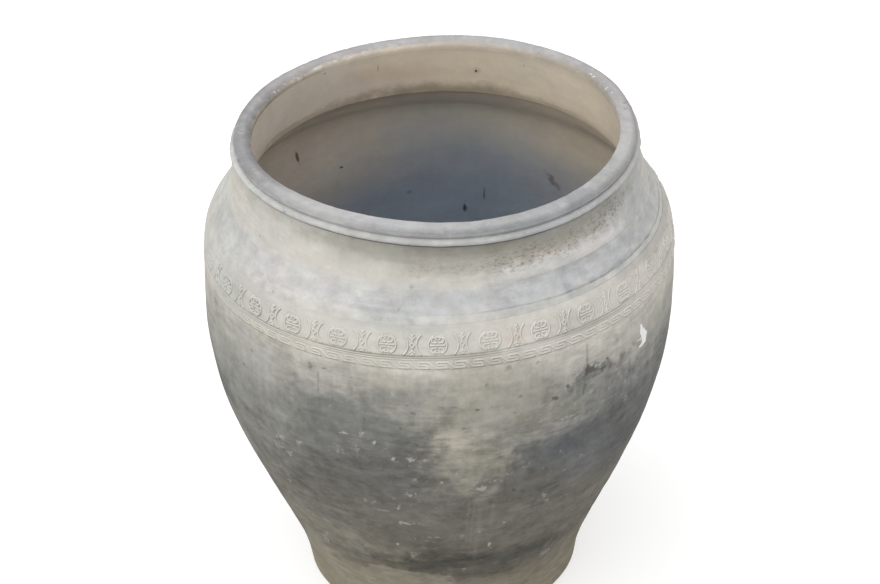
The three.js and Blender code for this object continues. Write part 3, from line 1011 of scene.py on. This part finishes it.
def frieze(angle, height):
    """Distance to the strokes of the two ornaments in turn."""
    slip = np.interp(np.degrees(angle), [-20, -10, 0, 7, 12, 24, 36, 50, 62],
                     np.array([0, 2, 4, 7, 4, 5, 4, 2, 0]) / 55)
    turn = angle / (2 * math.pi) * frieze_pairs + slip + 0.5
    pitch = 2 * math.pi * frieze_radius / frieze_pairs
    near_medallion = ((turn - 0.005) % 1 - 0.5) * pitch
    near_waisted = ((turn + 0.495) % 1 - 0.5) * pitch
    return np.minimum(medallion(near_medallion, height), waisted_ornament(near_waisted, height))


def frieze_relief(angle, height):
    """The frieze's face: how proud it stands, and its relief for the material."""
    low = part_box("frieze_strip")[0].z
    distance = frieze(angle, height - frieze_middle)
    from_above = frieze(angle - shadow_aside / frieze_radius, height - frieze_middle + shadow_below)
    worn = worn_away(angle) * (0.9 + 0.28 * lumps(angle, height, 38 * mm, 18 * mm, 43))
    foot_ledge = np.clip((height - low - 0.3 * mm) / (1.2 * mm), 0, 1)
    top_edge = np.clip((frieze_top - height) / (0.8 * mm), 0, 1)
    proud = strip_proud * (0.05 + 0.45 * foot_ledge * top_edge)
    proud = proud + 1.1 * mm * worn * pressed(distance, frieze_stroke)
    mark = stamped(distance, from_above, worn, frieze_stroke)
    # Painted shade along the strip's foot, and under the shoulder's lap at its top, most at the right
    return proud, mark - 0.5 * (1 - foot_ledge) - np.clip(0.35 + 0.5 * np.sin(angle), 0, 1) * (1 - top_edge)


frieze_strip = strip("frieze_strip_clay", "frieze_strip", 2880, 0.6 * mm, frieze_relief, [strip_clay])


# Shoulder band
# The sloping ring above the frieze, joined over it. A line was cut round it with a pointed tool while it
# turned, and it wears a bluish bloom.
key_height = 4 * mm
shoulder_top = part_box("shoulder_band")[1].z - key_height


def paint_shoulder(tree, place):
    """Cool grey bloom, patchy, with a smudge at the right and painted shade along the cut line."""
    colour = kiln_colour(tree, place, 475, 500)
    return stains(tree, place, colour, [
        ("#bfc0c1", 26, 490, 74, 26, 0.8), ("#bbbdbf", 46, 494, 44, 26, 0.6),
        ("#bbbcbb", -10, 487, 34, 20, 0.6), ("#bbbdba", -70, 485, 22, 26, 0.5),
        ("#c9cacb", 48, 492, 14, 18, 0.5), ("#a9abae", 33.3, 487, 2.2, 20, 0.6),
        # The thin darker bands at 480 and 481 are painted shade in the cut line
        ("#a5a8ab", 50, 480, 20, 6, 0.5), ("#a3a6a8", 57, 492, 12, 10, 0.25),
        ("#adaeae", -15, 481, 22, 4, 0.6), ("#b0b1b3", -5, 481, 12, 5, 0.4),
        ("#d4d2cd", -21, 493, 3.2, 5, 0.5), ("#adb0b4", 5, 492, 10, 10, 0.35),
        ("#b0b2b0", 74, 490, 12, 20, 0.35), ("#b1b2b1", 170, 487, 60, 30, 0.6),
        ("#c1beb8", -130, 486, 50, 30, 0.5),
    ], soft=0.6, ragged=1.2, speckle=1.0)


shoulder_clay = fired_clay("Shoulder clay", paint_shoulder, Mottle=0.72, Wiped_lines=0.2, Rain_streaks=0.14,
                           Scuffs=0.45, Scuff_tone=shade("#d0cfcc"), Pits=0.5, Dirt=0.35)


def cut_line(angle, height):
    """A line cut round the shoulder, deep at the right and faint elsewhere, and the seam's worn lap."""
    course = 479 * mm + 1.2 * mm * np.sin(angle - 0.6) + 0.5 * mm * lumps_round(angle, 50 * mm, 45)
    course = course + 0.35 * mm * lumps_round(angle, 9 * mm, 46)
    broken = np.clip(0.75 + 0.6 * lumps_round(angle, 13 * mm, 47), 0.15, 1.2)
    depth = 0.5 * mm * broken * np.clip(0.25 + np.sin(angle + 0.1), 0.12, 1)
    away = (height - course) / (0.8 * mm)
    lap = (height - settled(angle, shoulder_top)) / (1.1 * mm)
    lap_depth = 0.35 * mm * broken * np.clip(1.3 * np.sin(angle) - 0.45, 0.03, 1)
    line = 0.4 * hump(away, -2.2, 1) - hump(away, 0, 1)
    return depth * line - lap_depth * hump(lap, 0, 1)


shoulder_band = thrown_ring("shoulder_band_clay", "shoulder_band", frieze_top, shoulder_top,
                            [shoulder_clay, inside_clay], 0.7 * mm, cut_line)


# Neck collar
# Thrown apart and luted on: outside it flows on from the shoulder, and inside its foot overhangs the
# shoulder as a sharp ledge. The bore keeps fine throwing lines.
def paint_neck(tree, place):
    """Cream slip, darker olive under the bead, and sooty where hands and ropes have rubbed it."""
    colour = stains(tree, place, kiln_colour(tree, place, 505, 550), [("#ccc9c1", -48, 526, 66, 34, 0.7)])
    olive = ("#86857b", 9, 546, 74, 34, 0.9)
    colour = stains(tree, place, colour, [olive], soft=0.95, ragged=0.35, speckle=0.3)
    colour = stains(tree, place, colour, [
        ("#9b988e", 36, 533, 40, 18, 0.6), ("#85857f", 57, 540, 18, 16, 0.5),
        ("#8f8d86", 46, 542, 20, 12, 0.35), ("#a5a297", 16, 525, 40, 12, 0.5),
        ("#a8a79c", -22, 540, 26, 14, 0.6), ("#c0bdb2", -62, 546, 30, 16, 0.5),
        ("#b3b7bd", 66, 528, 42, 60, 0.35), ("#dad8d5", 40, 511, 40, 16, 0.9),
        ("#b5b1a7", 10, 518, 26, 8, 0.5), ("#c8b7a8", 30, 522, 14, 8, 0.4),
        ("#b9bbbc", 72, 520, 20, 40, 0.6), ("#a09e95", -8, 531, 18, 5, 0.5),
        ("#bcbab2", -50, 541, 14, 5, 0.4), ("#a9a9a2", 170, 530, 70, 40, 0.5),
        ("#d0ccc4", 110, 520, 60, 40, 0.6),
    ], soft=0.6, ragged=1.1, speckle=1.1)
    point = point_on_jar(tree)
    rubbed = smooth_step(tree, cloud(tree, point, (190, 190, 360), 4, 0.72), 0.01, 0.1)
    for spot in ((26, 525, 48, 24), (54, 536, 24, 22)):
        here = patch_mask(tree, place, *spot, soft=0.6, speckle=0.5)
        specks = times(tree, times(tree, rubbed, here), 0.5)
        colour = blend(tree, specks, colour, shade("#70685f"))
    return colour


neck_clay = fired_clay("Neck clay", paint_neck, Mottle=0.42, Wiped_lines=0.15, Rain_streaks=0.1,
                       Scuffs=0.25, Scuff_tone=shade("#dad7d1"), Pits=0.5)


def paint_bore(tree, place):
    """Beige, darker and browner at its foot as painted shade, most at the back, and greyer at the left,
    with one bubble burst open in it.
    """
    colour = tones_by_height(tree, place["Height"], [
        (0, "#d8cab4"), (500, "#d8cab4"), (515, "#e2d4be"), (544, "#e2d5c0"), (556, "#ddd0bc"),
        (564, "#c2b8aa"), (571, "#a9a39a"),
    ])
    colour = stains(tree, place, colour, [
        # The dark patch at the back of the foot, and the thin bands at 501 and 502, are painted shade at
        # the bore's foot
        ("#dbd0c6", -120, 530, 80, 70, 0.8), ("#857a69", 180, 500, 64, 20, 0.7),
        ("#e4d8c3", 138, 540, 56, 40, 0.5), ("#a3927c", -128, 502, 26, 6, 0.6),
        ("#a3957f", 140, 501, 40, 6, 0.4), ("#c5b69f", 166.8, 530, 2.6, 8, 0.6),
        ("#d6c3ae", -165, 532, 30, 20, 0.4),
    ], soft=0.7)
    return stains(tree, place, colour, [
        ("#39322a", 166.8, 529.5, 0.75, 3.4, 0.95), ("#6d6457", -141, 553.5, 0.7, 2.4, 0.6),
        ("#a08f7c", -161, 540, 0.6, 9, 0.5), ("#a59580", 150, 548, 0.5, 3, 0.5),
    ], soft=0.35, ragged=0.3, speckle=0.5)


bore_clay = fired_clay("Bore clay", paint_bore, bump=0.5, Mottle=0.24, Wiped_lines=0.07, Rain_streaks=0.05,
                       Scuffs=0.18, Scuff_tone=shade("#e0d7ca"), Pits=0.12)
bead_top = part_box("rim_bead")[1].z
neck_wall = 20.5 * mm
mouth_radius = neck_radius - neck_wall
neck_flare = 9.3 * mm
ledge_round = 2.5 * mm
ledge_reach = 3 * mm
neck_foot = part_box("neck_collar")[0].z
bead_seat_depth = 6 * mm
slip_gap = 0.3 * mm
outer = settled(angles, levels_between(shoulder_top, bead_seat, 1.2 * mm))
step_up = levels_between(bead_seat, bead_top, 6 * mm) + 0 * angles
ledge = neck_foot + 1.0 * mm * np.sin(angles) + 0.3 * mm * lumps_round(angles, 60 * mm, 53)
bore_share = np.linspace(0, 1, 44)[:, None]
bore = bead_top + (ledge + ledge_round - bead_top) * bore_share
throwing_lines = 0.07 * mm * lumps(angles, bore, 500 * mm, 3.5 * mm, 51)
bore_shift = 1.3 * mm * np.sin(angles)
shadow_height = 3 * mm
bore_radius = mouth_radius + bore_share * (neck_flare + bore_shift) + throwing_lines
ledge_turn = np.linspace(0, math.pi / 2, 7)[1:, None]
ledge_radius = bore_radius[-1:] + ledge_reach * (1 - np.cos(ledge_turn))
ledge_height = ledge + ledge_round * (1 - np.sin(ledge_turn))
under = settled(angles, shoulder_top + 0 * angles)
radius = np.concatenate([
    outside(outer) + hand_made(angles, outer),
    neck_radius - bead_seat_depth + 0 * step_up,
    bore_radius,
    ledge_radius,
    inside(under) + finger_ridges(angles, under) - slip_gap,
])
height = np.concatenate([outer, step_up, bore, ledge_height, under])
close_under_bead = np.clip(1 - (bead_seat - outer) / shadow_height, 0, 1)
bead_shadow = -0.25 * close_under_bead * np.clip(0.6 + np.sin(angles), 0, 1)
neck_collar = clay_mesh("neck_collar_clay", standing(angles, radius, height), [neck_clay, bore_clay],
                        len(outer) + len(step_up) - 1, {"relief": bead_shadow})
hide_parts("neck_collar")


# Rim bead
# A coil of clay rolled round under the lip and pressed on with the fingers, so it is never quite even.
# The lip above it is of the same clay.
def paint_rim(tree, place):
    """Lavender grey, paler at the front and behind, with painted shade in the groove above the bead, and
    the bore's beige where the lip rolls in.
    """
    colour = stains(tree, place, shade("#b3b2b2"), [("#939295", -90, 567, 56, 14, 0.8)])
    colour = stains(tree, place, colour, [
        ("#b1b2b2", 6, 567, 60, 24, 0.7), ("#a3a4a4", 32, 567, 32, 24, 0.65),
        ("#c2c1c0", -37, 567, 32, 24, 0.5), ("#b5b5b3", 74, 566, 20, 30, 0.5),
        ("#a9a4a5", 128, 566, 56, 30, 0.6), ("#a6a1a2", -145, 566, 64, 30, 0.75),
        ("#cacbc6", -72, 556, 34, 8, 0.8), ("#b3b2ac", -18, 556, 40, 7, 0.6),
        ("#a6a9ab", 38, 556, 34, 8, 0.6), ("#c4c4c0", -40, 556, 44, 8, 0.6),
        # The two thin bands at 562, across the front, are painted shade in the groove between bead and lip
        ("#a9a9a7", -8, 556, 50, 7, 0.5), ("#a3a5a8", 24, 562, 40, 5, 0.5),
        ("#9a9ca0", -2, 562, 60, 3.5, 0.5), ("#bebdb9", -30, 555, 14, 5, 0.4),
        ("#bfbebb", 12, 555, 16, 4, 0.4), ("#9fa0a4", 42, 568, 14, 12, 0.5),
        ("#9b9da1", 62, 566, 10, 14, 0.4), ("#c3c2c1", 22, 569, 16, 6, 0.3),
    ], soft=0.7, ragged=1.3, speckle=1.3)
    point = point_on_jar(tree)
    worn = smooth_step(tree, cloud(tree, point, (70, 70, 160), 5, 0.7), 0.03, 0.16)
    colour = blend(tree, times(tree, worn, 0.3), colour, shade("#cccbc9"))
    grimy = smooth_step(tree, cloud(tree, point, (52, 52, 90), 5, 0.7), -0.06, -0.2)
    colour = blend(tree, times(tree, grimy, 0.28), colour, shade("#8b8c90"))
    fray = cloud(tree, point, (190, 190, 260), 4, 0.7)
    rolled_in = read_mark(tree, "rolled in")
    beyond = smooth_step(tree, times_plus(tree, fray, 1.2, rolled_in), 0.2, 0.85)
    return blend(tree, beyond, colour, paint_bore(tree, place))


rim_clay = fired_clay("Rim clay", paint_rim, Mottle=0.45, Wiped_lines=0.1, Rain_streaks=0.0, Scuffs=0.5,
                      Scuff_tone=shade("#d3d2ce"), Pits=0.8, Dirt=0.4)
bead_middle = (bead_seat + bead_top) / 2
bead_half = (bead_top - bead_seat) / 2
bead_proud = bead_seat_depth + bead_stands_out - slip_gap
bead_turn = np.linspace(-math.pi / 2, math.pi / 2, 17)[:, None]
pressed_in = 0.4 * mm * lumps_round(columns_round, 30 * mm, 61)
pressed_in = pressed_in + 0.4 * mm * lumps(columns_round, bead_turn * 4 * mm + 0.1, 9 * mm, 4 * mm, 63)
coil_radius = neck_radius - bead_seat_depth + slip_gap + (bead_proud + pressed_in) * np.cos(bead_turn)
coil_height = bead_middle + bead_half * np.sin(bead_turn) + 0 * columns_round
# Painted shade where the bead tucks under the lip and into the neck, and a painted highlight along its
# swell
bead_shade_and_highlight = np.clip(1.2 * np.cos(bead_turn) - 0.75, -0.5, 0.4) + 0 * columns_round
rim_bead = clay_mesh("rim_bead_clay", standing(columns_round, coil_radius, coil_height), [rim_clay],
                     marks={"relief": bead_shade_and_highlight})
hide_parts("rim_bead")


# Rim lip
# The broad flat lip, smoothed with a wet leather and rounded inside and out. Long use has chipped its
# inner edge, mostly at the back left and back right, where the pale clay shows.
lip_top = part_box("rim_lip")[1].z


# The lip's section in three forms, as millimetres out from the bore and up from the bead: up the outside,
# over the top, down the inside and back underneath
flat_lip = [(18, 0), (18.4, 1.1), (18.8, 2.3), (19, 3.6), (18.9, 4.8), (18.5, 5.9), (17.8, 7),
            (16.8, 7.9), (15.6, 8.6), (14.2, 9.2), (12.8, 9.6), (11.3, 9.85), (9.8, 9.95), (8.2, 10),
            (6.2, 9.95), (4, 9.9)]
sloped_lip = [(18.2, 0), (18.6, 1.1), (18.9, 2.2), (18.9, 3.3), (18.6, 4.3), (18.1, 5.3), (17.4, 6.2),
              (16.5, 7), (15.5, 7.7), (14.4, 8.4), (13.2, 9), (11.9, 9.5), (10.5, 9.8), (9, 10),
              (7.3, 10), (5.2, 9.95)]
rolled_lip = [(18, 0), (18.4, 1.1), (18.8, 2.3), (19, 3.6), (19, 4.8), (19, 6), (18.9, 7.2),
              (18.7, 8.3), (18.2, 9.2), (17.1, 9.8), (15.4, 10), (13.6, 9.85), (11.6, 9.4), (9.6, 8.8),
              (7.7, 8), (6, 7.2)]


def lip_section(outer_points, inner_radius, inner_top):
    """One form of the lip's section as columns of out and up."""
    turn = np.linspace(0, math.pi / 2, 12)
    inner_low = 2.5
    inner_out = inner_radius * (1 - np.sin(turn))
    inner_round = np.stack([inner_out, inner_low + (inner_top - inner_low) * np.cos(turn)], 1)
    return np.concatenate([outer_points, inner_round, [(0, 1.2), (0, 0)]])[:, :, None] * mm


degrees = np.degrees(columns_round)
to_the_front = np.clip(1.6 * np.cos(columns_round), 0, 1)
sloped = 0.9 * hump(degrees, 42, 30)
rolled_behind = 0.8 * hump(np.abs(degrees), 180, np.where(degrees < 0, 50, 62))
rolled = np.clip(0.9 * hump(degrees, -98, 42) + rolled_behind, 0, 1) * (1 - sloped)
crisp_inner_edge = 1.6, 9.9
round_inner_edge = 4.6, 6.4
section = lip_section(sloped_lip, *crisp_inner_edge) * sloped
section = section + lip_section(rolled_lip, *round_inner_edge) * rolled
section = section + lip_section(flat_lip, *crisp_inner_edge) * (1 - sloped - rolled)
high_up = np.clip(section[:, 1] / (6 * mm), 0, 1)
overhang = 1.2 * mm * to_the_front * high_up
out = section[:, 0] - overhang * np.clip(1 - section[:, 0] / (8 * mm), 0, 1)
height = section[:, 1] + bead_top
last_outer_point = 13
inner_rows = np.arange(len(out))[:, None] > last_outer_point
uneven = 0.35 * mm * lumps_round(columns_round, 70 * mm, 71)
knocks = 0.7 * lumps(columns_round, out, 7 * mm, 5 * mm, 75)
knocks = knocks + 0.6 * lumps(columns_round, out, 3.4 * mm, 2.5 * mm, 77)
often = hump(np.abs(columns_round + 0.1), 2.2, 0.6) + 0.4
often = often * np.where(columns_round < 0, 0.7, 1)
inner_edge = hump(out, 3 * mm, 3 * mm) * inner_rows * high_up
outer_edge = 0.5 * hump(out, 17.5 * mm, 1.6 * mm) * (height > lip_top - 3 * mm)
chips = np.clip((knocks - 0.2) * 3, 0, 1) * np.clip(often * inner_edge + outer_edge, 0, 1)
worn_edge = 0.3 * mm * (1.2 + lumps_round(columns_round, 55 * mm, 73))
worn_edge = worn_edge + 0.25 * mm * (1 + lumps(columns_round, out, 16 * mm, 6 * mm, 74))
chip_back = 0.9 * mm
chip_down = 0.8 * mm
radius = mouth_radius + out + uneven * high_up + chip_back * chips * inner_edge
height = height - worn_edge * high_up - chip_down * chips
# Relief for the material that is painted light: shade down the lip's outer face and over its outer
# shoulder, more at the right, a faint highlight near the top, and shade on the inner round where the lip is
# rolled
edges = np.interp(section[:, 1], np.array([0, 3, 7, 9.5, 10]) * mm, [-0.4, -0.3, -0.1, 0.1, 0])
edges = np.where(out < 11 * mm, 0, edges) * (1 + 0.5 * np.sin(columns_round))
edges = edges - 0.4 * np.clip((out - 11.5 * mm) / (4 * mm), 0, 1) * (section[:, 1] > 5 * mm)
deep = np.clip((10 * mm - out) / (8 * mm), 0, 1)
edges = edges - 1.2 * deep * rolled * inner_rows * np.clip((150 - np.abs(degrees)) / 30, 0, 1)
back = np.clip((np.abs(degrees) - 100) / 50, 0, 1)
turned_in = (1.2 + 2.5 * back - 4 * to_the_front) * mm
turned_in = turned_in + 1.2 * mm * lumps(columns_round, out, 9 * mm, 5 * mm, 78)
rolled_in = np.clip(0.5 + (turned_in - out) / (6 * mm), 0, 1) * inner_rows
rim_lip = clay_mesh("rim_lip_clay", standing(columns_round, radius, height), [rim_clay],
                    marks={"relief": edges, "flaked": 0.8 * chips,
                           "chipped": 0.5 * np.clip(chips * 2 - 1, 0, 1), "rolled in": rolled_in})
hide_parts("rim_lip")


# Floor and light
# A plain white floor that runs on past the picture, under a wide soft lamp at the upper left and an even
# pale room.
floor_half = 12.0
floor_grey = 0.6
floor_lift = 0.55
room_strength = 0.77
white = (1, 1, 1, 1)


def seen_straight(tree):
    """1 for rays from the camera, or by way of a mirror or glass, and 0 for scattered light."""
    path = put(tree, "ShaderNodeLightPath").outputs
    by_glass = work_out(tree, "MAXIMUM", path["Is Glossy Ray"], path["Is Transmission Ray"])
    return work_out(tree, "MAXIMUM", path["Is Camera Ray"], by_glass)


floor_mesh = bpy.data.meshes.new("floor")
floor_corners = [(across * floor_half, along * floor_half, 0)
                 for across, along in ((-1, -1), (1, -1), (1, 1), (-1, 1))]
floor_mesh.from_pydata(floor_corners, [], [(0, 1, 2, 3)])
floor = bpy.data.objects.new("floor", floor_mesh)
bpy.context.scene.collection.objects.link(floor)
floor_look = bpy.data.materials.new("Floor")
floor_look.use_nodes = True
tree = floor_look.node_tree
tree.nodes.clear()
seen = seen_straight(tree)
pale = put(tree, "ShaderNodeBsdfDiffuse", {"Color": (floor_grey, floor_grey, floor_grey, 1)})
lift = put(tree, "ShaderNodeEmission", {"Color": white, "Strength": times(tree, seen, floor_lift)})
both = put(tree, "ShaderNodeAddShader", {0: pale.outputs[0], 1: lift.outputs[0]})
put(tree, "ShaderNodeOutputMaterial", {"Surface": both.outputs[0]})
floor_mesh.materials.append(floor_look)

world = bpy.data.worlds.new("Room")
bpy.context.scene.world = world
world.use_nodes = True
tree = world.node_tree
tree.nodes.clear()
seen = seen_straight(tree)
strength = put(tree, "ShaderNodeMix", {0: seen, 2: room_strength, 3: 1.0}, data_type="FLOAT").outputs[0]
sky = put(tree, "ShaderNodeBackground", {"Color": white, "Strength": strength})
put(tree, "ShaderNodeOutputWorld", {"Surface": sky.outputs[0]})

key_light = bpy.data.lights.new("Soft key", "SUN")
key_light.energy = 1.35
key_light.angle = math.radians(90)
toward_key = Vector((-0.5, -0.5, 1))
key = bpy.data.objects.new("Soft key", key_light)
key.rotation_euler = toward_key.to_track_quat("Z", "Y").to_euler()
bpy.context.scene.collection.objects.link(key)


# Camera
# It stands about three metres off, above the rim, and looks down into the mouth; its right side is
# tipped up by a degree, as the photograph's was.
camera_data = bpy.data.cameras.new("Camera")
camera_data.sensor_width = 36
camera_data.lens = 122.73
camera_data.clip_end = 100
camera = bpy.data.objects.new("Camera", camera_data)
camera_place = Vector((0.5, -2894.6, 2162.4)) * mm
down = math.radians(32.008)
roll = math.radians(-1.097)
tilt = Euler((math.pi / 2 - down, 0, 0)).to_matrix().to_4x4()
camera.matrix_world = Matrix.Translation(camera_place) @ tilt @ Matrix.Rotation(roll, 4, "Z")
bpy.context.scene.collection.objects.link(camera)
bpy.context.scene.camera = camera
bpy.context.scene.view_settings.view_transform = "Standard"
